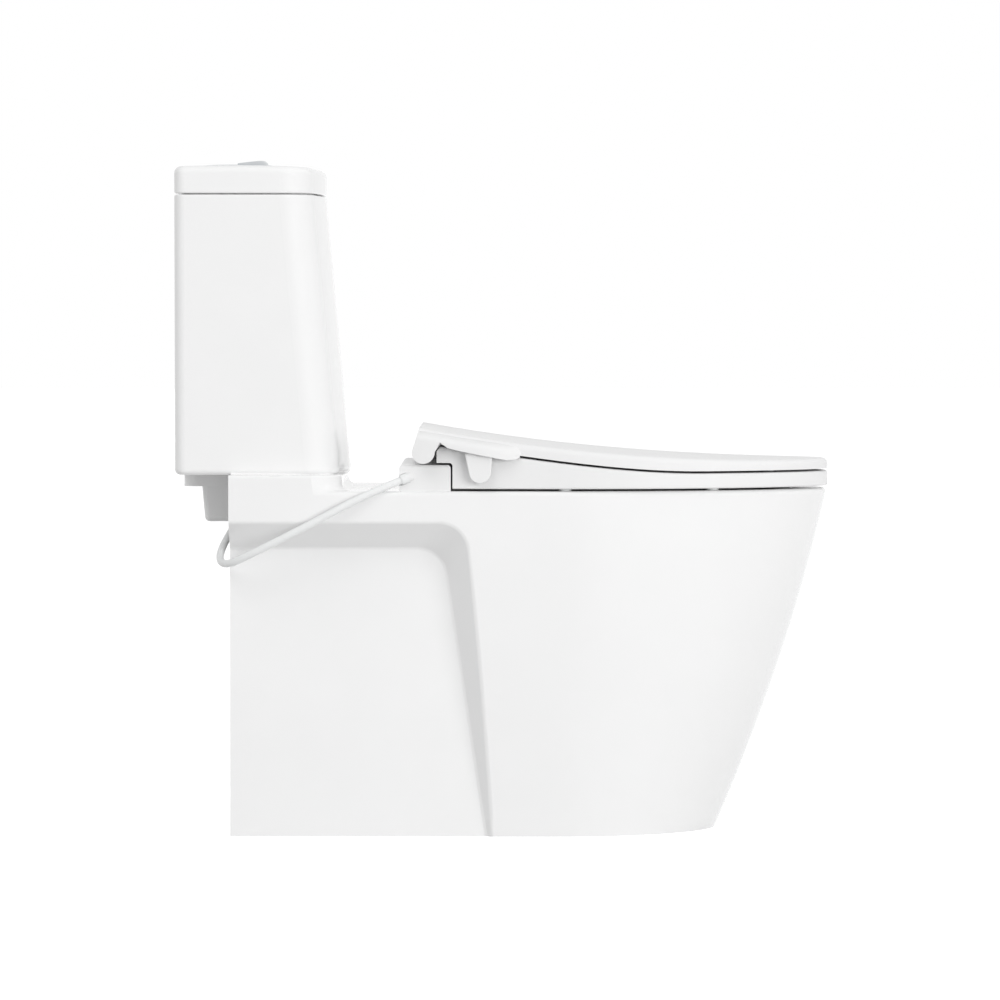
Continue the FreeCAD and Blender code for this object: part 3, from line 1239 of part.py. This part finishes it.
doc.recompute()
faults = [thing.Name for thing in doc.Objects if "Invalid" in thing.State or "Error" in thing.State]
for thing in pieces:
    if thing.Shape.isNull() or not thing.Shape.isValid() or not thing.Shape.Solids:
        faults.append(thing.Label)
if faults:
    raise SystemExit("faulty: " + ", ".join(faults))
os.makedirs("parts", exist_ok=True)
for thing in pieces:
    thing.Shape.exportStep(f"parts/{thing.Label}.step")
print(len(pieces), "pieces")
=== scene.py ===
import json
import math

import bmesh
import bpy
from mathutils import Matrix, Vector


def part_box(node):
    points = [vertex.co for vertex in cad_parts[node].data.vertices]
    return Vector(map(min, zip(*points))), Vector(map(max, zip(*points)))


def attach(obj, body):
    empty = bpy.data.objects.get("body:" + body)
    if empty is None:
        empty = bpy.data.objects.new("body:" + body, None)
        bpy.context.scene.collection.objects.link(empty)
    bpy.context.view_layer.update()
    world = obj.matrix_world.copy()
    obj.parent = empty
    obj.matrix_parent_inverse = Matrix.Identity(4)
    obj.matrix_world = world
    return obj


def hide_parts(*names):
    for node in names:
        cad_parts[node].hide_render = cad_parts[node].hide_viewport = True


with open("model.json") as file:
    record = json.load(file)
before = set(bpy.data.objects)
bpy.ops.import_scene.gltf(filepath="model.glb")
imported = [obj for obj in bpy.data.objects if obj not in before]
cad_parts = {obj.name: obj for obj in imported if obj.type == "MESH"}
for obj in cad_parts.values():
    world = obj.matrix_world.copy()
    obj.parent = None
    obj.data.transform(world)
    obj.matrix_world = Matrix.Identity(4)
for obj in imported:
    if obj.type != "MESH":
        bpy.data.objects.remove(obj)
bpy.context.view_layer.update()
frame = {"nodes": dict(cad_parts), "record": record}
nodes = frame["nodes"]
mm = 0.001
print("frame loaded:", len(nodes), "nodes")


def linearFrom(hexColour):
    channels = [int(hexColour[here:here + 2], 16) / 255 for here in (1, 3, 5)]
    return [c / 12.92 if c <= 0.04045 else ((c + 0.055) / 1.055) ** 2.4 for c in channels] + [1.0]


def addNode(tree, kind, settings=None, links=None):
    node = tree.nodes.new(kind)
    for name, value in (settings or {}).items():
        if isinstance(name, int) or name in node.inputs:
            node.inputs[name].default_value = value
        else:
            setattr(node, name, value)
    for name, source in (links or {}).items():
        tree.links.new(source, node.inputs[name])
    return node


# Materials

def newSurface(name):
    material = bpy.data.materials.new(name)
    material.use_nodes = True
    tree = material.node_tree
    tree.nodes.clear()
    place = addNode(tree, "ShaderNodeTexCoord").outputs["Object"]
    return material, tree, place


def finishSurface(tree, settings, links):
    surface = addNode(tree, "ShaderNodeBsdfPrincipled", settings, links)
    addNode(tree, "ShaderNodeOutputMaterial", links={"Surface": surface.outputs[0]})


# Two tones mixed in soft patches, and bumps at a coarse and a fine size, both in millimetres.
def patchedSurface(name, look):
    material, tree, place = newSurface(name)
    patches = addNode(tree, "ShaderNodeTexNoise", {"Scale": 1 / (look["patch"] * mm), "Detail": 2.0},
                      {"Vector": place})
    tone = addNode(tree, "ShaderNodeMix", {"data_type": "RGBA", 6: linearFrom(look["light"]),
                                           7: linearFrom(look["dark"])}, {0: patches.outputs[0]})
    smooth, rough = look["roughness"]
    gloss = addNode(tree, "ShaderNodeMapRange", {"To Min": smooth, "To Max": rough},
                    {"Value": patches.outputs[0]})
    bump = None
    for size, height in look["bumps"]:
        grain = addNode(tree, "ShaderNodeTexNoise", {"Scale": 1 / (size * mm), "Detail": 1.0},
                        {"Vector": place})
        links = {"Height": grain.outputs[0]}
        if bump is not None:
            links["Normal"] = bump.outputs[0]
        bump = addNode(tree, "ShaderNodeBump", {"Strength": 1.0, "Distance": height * mm}, links)
    finishSurface(tree, look["shader"], {"Base Color": tone.outputs[2], "Roughness": gloss.outputs[0],
                                         "Normal": bump.outputs[0]})
    return material


# Vitreous china, slip-cast and glazed: a wet gloss over a body that waves a little, with a faint peel.
def glazedChina():
    look = {"light": "#f6f6f6", "dark": "#f3f3f3", "patch": 70, "roughness": (0.07, 0.12),
            "bumps": ((85, 0.35), (4, 0.006)), "shader": {"IOR": 1.52}}
    return patchedSurface("glazed_vitreous_china", look)


# Urea seat plastic, compression moulded and polished: duller than the glaze, with a very even skin.
def mouldedUrea():
    look = {"light": "#f0f0f0", "dark": "#ededed", "patch": 45, "roughness": (0.34, 0.42),
            "bumps": ((60, 0.12), (1.6, 0.006)), "shader": {"IOR": 1.54}}
    return patchedSurface("moulded_urea_seat_plastic", look)


# Acetal and ABS valve parts, injection moulded: satin, faintly mottled where the melt flowed.
def mouldedAcetal():
    look = {"light": "#eceded", "dark": "#e2e4e5", "patch": 14, "roughness": (0.36, 0.48),
            "bumps": ((1.2, 0.02),), "shader": {"IOR": 1.48}}
    return patchedSurface("moulded_acetal", look)


# Polyethylene tube, extruded: soft satin, a little blue beside the china.
def extrudedPolyethylene():
    look = {"light": "#f3f4f4", "dark": "#edeeee", "patch": 9, "roughness": (0.3, 0.4),
            "bumps": ((2.5, 0.03),), "shader": {"IOR": 1.51}}
    return patchedSurface("extruded_polyethylene_hose", look)


# EPDM rubber, moulded: black and dull, with a talc-dry grain.
def mouldedRubber():
    look = {"light": "#232323", "dark": "#191919", "patch": 6, "roughness": (0.6, 0.75),
            "bumps": ((0.8, 0.05),), "shader": {"IOR": 1.5}}
    return patchedSurface("moulded_epdm_rubber", look)


# Soft thermoplastic bumper: milky and half clear, so light from the seat glows in it.
def milkyElastomer():
    look = {"light": "#eaebea", "dark": "#dfe1e0", "patch": 5, "roughness": (0.4, 0.5),
            "bumps": ((0.9, 0.02),),
            "shader": {"IOR": 1.45, "Subsurface Weight": 0.2, "Subsurface Radius": (0.004, 0.004, 0.004)}}
    return patchedSurface("milky_thermoplastic_elastomer", look)


# Chromium plate on ABS: a mirror skin that clouds a little from touch.
def chromePlate():
    look = {"light": "#cfd2d4", "dark": "#c3c6c9", "patch": 12, "roughness": (0.05, 0.12),
            "bumps": ((16, 0.02),), "shader": {"Metallic": 1.0}}
    return patchedSurface("chromium_plated_abs", look)


# Nickel on turned brass: warm grey mirror with the lathe's fine waviness.
def nickelPlate():
    look = {"light": "#cbc7bf", "dark": "#bdb8ae", "patch": 8, "roughness": (0.12, 0.22),
            "bumps": ((1.5, 0.01),), "shader": {"Metallic": 1.0}}
    return patchedSurface("nickel_plated_brass", look)


# Stainless steel, drawn: grey with long fine scratches, 0.5 mm wide here, as real ones are too fine.
def drawnStainless():
    look = {"light": "#bcbec0", "dark": "#a9acaf", "scratch": 0.5, "stretch": (1.0, 1.0, 0.06),
            "roughness": (0.24, 0.4), "depth": 0.004}
    material, tree, place = newSurface("drawn_stainless_steel")
    drawn = addNode(tree, "ShaderNodeMapping", {"Scale": look["stretch"]}, {"Vector": place})
    scratches = addNode(tree, "ShaderNodeTexNoise", {"Scale": 1 / (look["scratch"] * mm), "Detail": 2.0},
                        {"Vector": drawn.outputs[0]})
    tone = addNode(tree, "ShaderNodeMix", {"data_type": "RGBA", 6: linearFrom(look["light"]),
                                           7: linearFrom(look["dark"])}, {0: scratches.outputs[0]})
    smooth, rough = look["roughness"]
    gloss = addNode(tree, "ShaderNodeMapRange", {"To Min": smooth, "To Max": rough},
                    {"Value": scratches.outputs[0]})
    bump = addNode(tree, "ShaderNodeBump", {"Strength": 1.0, "Distance": look["depth"] * mm},
                   {"Height": scratches.outputs[0]})
    finishSurface(tree, {"Metallic": 1.0}, {"Base Color": tone.outputs[2], "Roughness": gloss.outputs[0],
                                            "Normal": bump.outputs[0]})
    return material


surfaces = {
    "glazed_white": glazedChina(),
    "seat_white": mouldedUrea(),
    "chrome_trim": chromePlate(),
    "valve_white": mouldedAcetal(),
    "black_rubber": mouldedRubber(),
    "clear_bumper": milkyElastomer(),
    "steel": drawnStainless(),
    "plated_brass": nickelPlate(),
    "hose_white": extrudedPolyethylene(),
}
slotOf = {row["node"]: row["material_slot"] for row in frame["record"]["subparts"]}
for name, thing in nodes.items():
    for holder in thing.material_slots:
        holder.material = surfaces[slotOf[name]]
print("materials:", len(surfaces))


# Threads and ribs, by Geometry Nodes

def newTree(name, sizes):
    tree = bpy.data.node_groups.new(name, "GeometryNodeTree")
    for label, kind in sizes.items():
        tree.interface.new_socket(label, in_out="INPUT", socket_type=kind)
    tree.interface.new_socket("Geometry", in_out="OUTPUT", socket_type="NodeSocketGeometry")
    return tree, addNode(tree, "NodeGroupInput").outputs


def closeTree(tree, given, shape):
    moved = addNode(tree, "GeometryNodeTransform", links={
        "Geometry": shape, "Translation": given["Place"], "Rotation": given["Turn"]})
    real = addNode(tree, "GeometryNodeRealizeInstances", links={"Geometry": moved.outputs[0]})
    skin = addNode(tree, "GeometryNodeSetMaterial", links={
        "Geometry": real.outputs[0], "Material": given["Material"]})
    addNode(tree, "NodeGroupOutput", links={"Geometry": skin.outputs[0]})
    return tree


common = {"Place": "NodeSocketVector", "Turn": "NodeSocketRotation", "Material": "NodeSocketMaterial"}


# A helix with a three-sided ridge, around the tree's own Z axis.
def threadTree():
    tree, given = newTree("screwThread", {"Radius": "NodeSocketFloat", "Length": "NodeSocketFloat",
                                          "Turns": "NodeSocketFloat", "Ridge": "NodeSocketFloat", **common})
    helix = addNode(tree, "GeometryNodeCurveSpiral", {"Resolution": 24}, {
        "Rotations": given["Turns"], "Start Radius": given["Radius"], "End Radius": given["Radius"],
        "Height": given["Length"]})
    ridge = addNode(tree, "GeometryNodeCurvePrimitiveCircle", {"Resolution": 3}, {"Radius": given["Ridge"]})
    swept = addNode(tree, "GeometryNodeCurveToMesh", {"Fill Caps": True}, {
        "Curve": helix.outputs[0], "Profile Curve": ridge.outputs[0]})
    return closeTree(tree, given, swept.outputs[0])


# Upright ribs in a ring around the tree's own Z axis, standing on Z = 0.
def ribTree():
    tree, given = newTree("ribRing", {"Count": "NodeSocketInt", "Radius": "NodeSocketFloat",
                                      "Rib": "NodeSocketVector", **common})
    ring = addNode(tree, "GeometryNodeMeshCircle", links={
        "Vertices": given["Count"], "Radius": given["Radius"]})
    rib = addNode(tree, "GeometryNodeMeshCube", links={"Size": given["Rib"]})
    tall = addNode(tree, "ShaderNodeSeparateXYZ", links={"Vector": given["Rib"]})
    half = addNode(tree, "ShaderNodeMath", {"operation": "MULTIPLY", 1: 0.5}, {0: tall.outputs["Z"]})
    lift = addNode(tree, "ShaderNodeCombineXYZ", links={"Z": half.outputs[0]})
    stood = addNode(tree, "GeometryNodeTransform", links={
        "Geometry": rib.outputs[0], "Translation": lift.outputs[0]})
    place = addNode(tree, "GeometryNodeInputPosition")
    facing = addNode(tree, "FunctionNodeAlignRotationToVector", {"axis": "X", "pivot_axis": "Z"},
                     {"Vector": place.outputs[0]})
    ribs = addNode(tree, "GeometryNodeInstanceOnPoints", links={
        "Points": ring.outputs[0], "Instance": stood.outputs[0], "Rotation": facing.outputs[0]})
    return closeTree(tree, given, ribs.outputs[0])


screwThread = threadTree()
ribRing = ribTree()


# The carrier's evaluated shape as a plain mesh of its own, on the body that carries it.
def placeMesh(name, carrier, body, slot):
    evaluated = carrier.evaluated_get(bpy.context.evaluated_depsgraph_get())
    mesh = bpy.data.meshes.new_from_object(evaluated)
    carrier.modifiers.clear()
    bpy.data.objects.remove(carrier)
    if not mesh.materials:
        mesh.materials.append(surfaces[slot])
    piece = bpy.data.objects.new(name, mesh)
    bpy.context.collection.objects.link(piece)
    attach(piece, body)


def grown(name, tree, sizes, body, slot):
    carrier = bpy.data.objects.new(name + "Carrier", bpy.data.meshes.new(name + "Carrier"))
    bpy.context.collection.objects.link(carrier)
    modifier = carrier.modifiers.new("grow", "NODES")
    modifier.node_group = tree
    values = {"Place": Vector(), "Turn": (0.0, 0.0, 0.0), "Material": surfaces[slot], **sizes}
    for item in tree.interface.items_tree:
        if item.in_out == "INPUT":
            modifier[item.identifier] = values[item.name]
    placeMesh(name, carrier, body, slot)


# Threads: each is the ridge only, proud of the solid that carries it.
def threads():
    tee = {"radius": 10.3, "length": 17, "turns": 9, "ridge": 0.75, "start": 1.5}
    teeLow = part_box("supply_tee")[0]
    fillLow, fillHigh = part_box("fill_body")
    axis = Vector(((fillLow.x + fillHigh.x) / 2, (fillLow.y + fillHigh.y) / 2, teeLow.z + tee["start"] * mm))
    grown("inlet_thread", screwThread, {"Radius": tee["radius"] * mm, "Length": tee["length"] * mm,
                                        "Turns": tee["turns"], "Ridge": tee["ridge"] * mm, "Place": axis},
          "toilet", "plated_brass")
    bolt = {"radius": 3.9, "pitch": 1.25, "ridge": 0.5, "start": 1, "spare": 2}
    for node, nut in (("seat_bolts", "seat_bolt_nuts"), ("tank_bolts", "tank_bolt_nuts")):
        low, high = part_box(node)
        nutLow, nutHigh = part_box(nut)
        length = nutLow.z - low.z - bolt["spare"] * mm
        across = (nutHigh.y - nutLow.y - (nutHigh.x - nutLow.x)) / 2
        for side, hand in ((1, "left"), (-1, "right")):
            place = Vector(((low.x + high.x) / 2, side * across, low.z + bolt["start"] * mm))
            grown(f"{node}_thread_{hand}", screwThread, {
                "Radius": bolt["radius"] * mm, "Length": length, "Turns": length / (bolt["pitch"] * mm),
                "Ridge": bolt["ridge"] * mm, "Place": place}, "toilet", "steel")
    print("threads done")


def ringOfRibs(name, rib, radius, place, body, slot, turn=(0.0, 0.0, 0.0)):
    grown(name, ribRing, {"Count": rib["count"], "Radius": radius, "Rib": Vector(rib["size"]) * mm,
                          "Place": Vector(place), "Turn": turn}, body, slot)


# Grip ribs on the nuts, fins on the flush bell and ribs on the float and the fill valve's cap.
def ribs():
    nut = {"count": 24, "size": (1.0, 1.2, 7.0)}
    low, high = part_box("button_nut")
    ringOfRibs("button_nut_ribs", nut, (high.x - low.x) / 2, ((low.x + high.x) / 2, 0, low.z),
               "tank_cover", "valve_white")
    bell = {"count": 6, "size": (5.0, 1.6, 120.0), "radius": 16.5, "rise": 28}
    low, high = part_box("flush_seal")
    ringOfRibs("bell_fins", bell, bell["radius"] * mm,
               ((low.x + high.x) / 2, 0, low.z + bell["rise"] * mm), "flush_bell", "valve_white")
    cup = {"count": 12, "size": (0.8, 2.0, 46.0), "rise": 2}
    low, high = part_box("float")
    ringOfRibs("float_ribs", cup, (high.x - low.x) / 2,
               ((low.x + high.x) / 2, (low.y + high.y) / 2, low.z + cup["rise"] * mm),
               "float", "valve_white")
    cap = {"count": 20, "size": (0.8, 1.4, 12.0), "drop": 14}
    low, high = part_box("fill_body")
    ringOfRibs("fill_cap_ribs", cap, (high.x - low.x) / 2,
               ((low.x + high.x) / 2, (low.y + high.y) / 2, high.z - cap["drop"] * mm),
               "toilet", "valve_white")
    hoseNut = {"count": 18, "size": (0.9, 1.2, 8.0), "inset": 0.5}
    low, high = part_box("hose_nut_tee")
    ringOfRibs("hose_nut_tee_ribs", hoseNut, (high.y - low.y) / 2,
               (high.x - hoseNut["inset"] * mm, (low.y + high.y) / 2, (low.z + high.z) / 2),
               "toilet", "hose_white", (0.0, -math.pi / 2, 0.0))
    print("ribs done")


# A round bar on a smooth line through points in millimetres.
def roundBar(name, places, radius, sides):
    line = bpy.data.curves.new(name, "CURVE")
    line.dimensions = "3D"
    line.bevel_depth = radius * mm
    line.bevel_resolution = sides
    line.use_fill_caps = True
    spline = line.splines.new("NURBS")
    spline.points.add(len(places) - 1)
    for point, place in zip(spline.points, places):
        point.co = [*(Vector(place) * mm), 1.0]
    spline.order_u = 3
    spline.use_endpoint_u = True
    spline.resolution_u = 12
    bar = bpy.data.objects.new(name, line)
    bpy.context.collection.objects.link(bar)
    return bar


# Water hose: the route's points in millimetres, from the bidet base round the skirt's rear edge to the tee.
def waterHose():
    hose = {"radius": 4.25, "length": 348.6, "sides": 6, "route": (
        (-33, -170, 405.4), (-82, -183, 386), (-141.5, -184, 353.4), (-206, -177, 321), (-237, -160, 306),
        (-247, -138, 312), (-242, -116, 330), (-224, -104, 358), (-191, -104, 358))}
    piece = roundBar("water_hose", hose["route"], hose["radius"], hose["sides"])
    piece.data.materials.append(surfaces["hose_white"])
    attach(piece, "toilet")
    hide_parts("hose")
    print("hose done")


# Sealant bead in the corner between the tank's lower edge and the deck.
def tankBead():
    bead = {"radius": 2.0, "height": 408.7, "sides": 4, "line": (
        (-232, -159.6), (-150, -159.6), (-128, -153.1), (-119.4, -142.8), (-110.2, -100), (-105.2, -50),
        (-104.2, 0))}
    whole = [*bead["line"], *((x, -y) for x, y in reversed(bead["line"][:-1]))]
    places = [(x, y, bead["height"]) for x, y in whole]
    carrier = roundBar("tankBead", places, bead["radius"], bead["sides"])
    placeMesh("tank_bead", carrier, "toilet", "glazed_white")
    print("bead done")


# Flat outlines in millimetres, each drawn out along its own reach, as one closed mesh.
def prisms(name, outlines, body, slot):
    mesh = bmesh.new()
    for corners, reach in outlines:
        face = mesh.faces.new([mesh.verts.new(Vector(corner) * mm) for corner in corners])
        drawn = bmesh.ops.extrude_face_region(mesh, geom=[face])
        ends = [part for part in drawn["geom"] if isinstance(part, bmesh.types.BMVert)]
        bmesh.ops.translate(mesh, vec=Vector(reach) * mm, verts=ends)
    bmesh.ops.recalc_face_normals(mesh, faces=mesh.faces)
    data = bpy.data.meshes.new(name)
    mesh.to_mesh(data)
    mesh.free()
    data.materials.append(surfaces[slot])
    piece = bpy.data.objects.new(name, data)
    bpy.context.collection.objects.link(piece)
    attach(piece, body)
    print(name, "done")


# Tongues of the seat's pads, from the pads out to the edge, where they show in the gap over the rim.
def padTongues():
    tongue = {"half": 7.0, "low": 390.4, "tall": 2.0, "arc": 9,
              "runs": ((143, -165, -152), (309.2, -132.5, -110))}
    half = tongue["half"]
    turns = [math.pi * (1 + step / (tongue["arc"] - 1)) for step in range(tongue["arc"])]
    outlines = []
    for middle, outer, inner in tongue["runs"]:
        plan = [(middle + half * math.cos(turn), outer + half * math.sin(turn)) for turn in turns]
        plan += [(middle + half, inner), (middle - half, inner)]
        for side in (1, -1):
            outlines.append(([(x, side * y, tongue["low"]) for x, y in plan], (0, 0, tongue["tall"])))
    prisms("seat_pad_tongues", outlines, "seat", "clear_bumper")


# Gussets in front of the hinge cheeks of the bidet base.
def cheekGussets():
    gusset = {"profile": ((-8, 418.5), (-2.2, 418.5), (-2.2, 430.5), (-8, 434)), "from": 129, "thick": 8}
    outlines = []
    for side in (1, -1):
        corners = [(x, side * gusset["from"], z) for x, z in gusset["profile"]]
        outlines.append((corners, (0, side * gusset["thick"], 0)))
    prisms("hinge_cheek_gussets", outlines, "toilet", "seat_white")


threads()
ribs()
waterHose()
tankBead()
padTongues()
cheekGussets()


# Floor, world, light and camera

# One where the camera sees the studio, straight or in a mirror or through clear plastic.
def seenDirectly(tree):
    path = addNode(tree, "ShaderNodeLightPath").outputs
    seen = path["Is Camera Ray"]
    for kind in ("Is Glossy Ray", "Is Transmission Ray"):
        either = addNode(tree, "ShaderNodeMath", {"operation": "MAXIMUM"}, {0: seen, 1: path[kind]})
        seen = either.outputs[0]
    return seen


def floor():
    sizes = {"half": 40.0, "tone": "#cecece", "lift": 0.75}
    mesh = bpy.data.meshes.new("floor")
    half = sizes["half"]
    corners = [(-half, -half, 0), (half, -half, 0), (half, half, 0), (-half, half, 0)]
    mesh.from_pydata(corners, [], [(0, 1, 2, 3)])
    ground = bpy.data.objects.new("floor", mesh)
    bpy.context.collection.objects.link(ground)
    material = bpy.data.materials.new("studio_paper")
    material.use_nodes = True
    tree = material.node_tree
    tree.nodes.clear()
    lift = addNode(tree, "ShaderNodeMath", {"operation": "MULTIPLY", 1: sizes["lift"]},
                   {0: seenDirectly(tree)})
    paper = addNode(tree, "ShaderNodeBsdfDiffuse", {"Color": linearFrom(sizes["tone"])})
    glow = addNode(tree, "ShaderNodeEmission", links={"Strength": lift.outputs[0]})
    both = addNode(tree, "ShaderNodeAddShader", links={0: paper.outputs[0], 1: glow.outputs[0]})
    addNode(tree, "ShaderNodeOutputMaterial", links={"Surface": both.outputs[0]})
    mesh.materials.append(material)


def facing(place, target):
    return (Vector(target) - Vector(place)).to_track_quat("-Z", "Y").to_euler()


# A large softbox low on the right, a weaker one high on the left, and an even white room.
# The boxes themselves stay out of reflections, so the glaze shows the white room alone.
def studio():
    room = {"sky": 0.6, "middle": (0.05, 0, 0.35)}
    softboxes = {
        "key": {"power": 154.0, "place": (3.87, -4.55, 1.19), "span": (4.0, 2.0)},
        "fill": {"power": 64.0, "place": (-2.38, -3.48, 4.59), "span": (3.0, 3.0)},
    }
    world = bpy.data.worlds.new("studio")
    bpy.context.scene.world = world
    world.use_nodes = True
    tree = world.node_tree
    tree.nodes.clear()
    strength = addNode(tree, "ShaderNodeMapRange", {"To Min": room["sky"], "To Max": 1.0},
                       {"Value": seenDirectly(tree)})
    white = addNode(tree, "ShaderNodeBackground", {"Color": (1.0, 1.0, 1.0, 1.0)},
                    {"Strength": strength.outputs[0]})
    addNode(tree, "ShaderNodeOutputWorld", links={"Surface": white.outputs[0]})
    for name, box in softboxes.items():
        lamp = bpy.data.lights.new(name, "AREA")
        lamp.shape = "RECTANGLE"
        lamp.size, lamp.size_y = box["span"]
        lamp.energy = box["power"]
        stand = bpy.data.objects.new(name, lamp)
        stand.location = box["place"]
        stand.visible_glossy = False
        stand.rotation_euler = facing(box["place"], room["middle"])
        bpy.context.collection.objects.link(stand)


def camera():
    sizes = {"place": (0.070, -6.5, 0.584), "aim": (0.070, 0.0, 0.3747), "lens": 203.6, "sensor": 36.0,
             "reach": 200.0}
    lens = bpy.data.cameras.new("camera")
    lens.lens = sizes["lens"]
    lens.sensor_width = sizes["sensor"]
    lens.clip_end = sizes["reach"]
    eye = bpy.data.objects.new("camera", lens)
    eye.location = sizes["place"]
    eye.rotation_euler = facing(sizes["place"], sizes["aim"])
    bpy.context.collection.objects.link(eye)
    bpy.context.scene.camera = eye


floor()
studio()
camera()
bpy.context.scene.view_settings.view_transform = "Standard"
print("studio done")
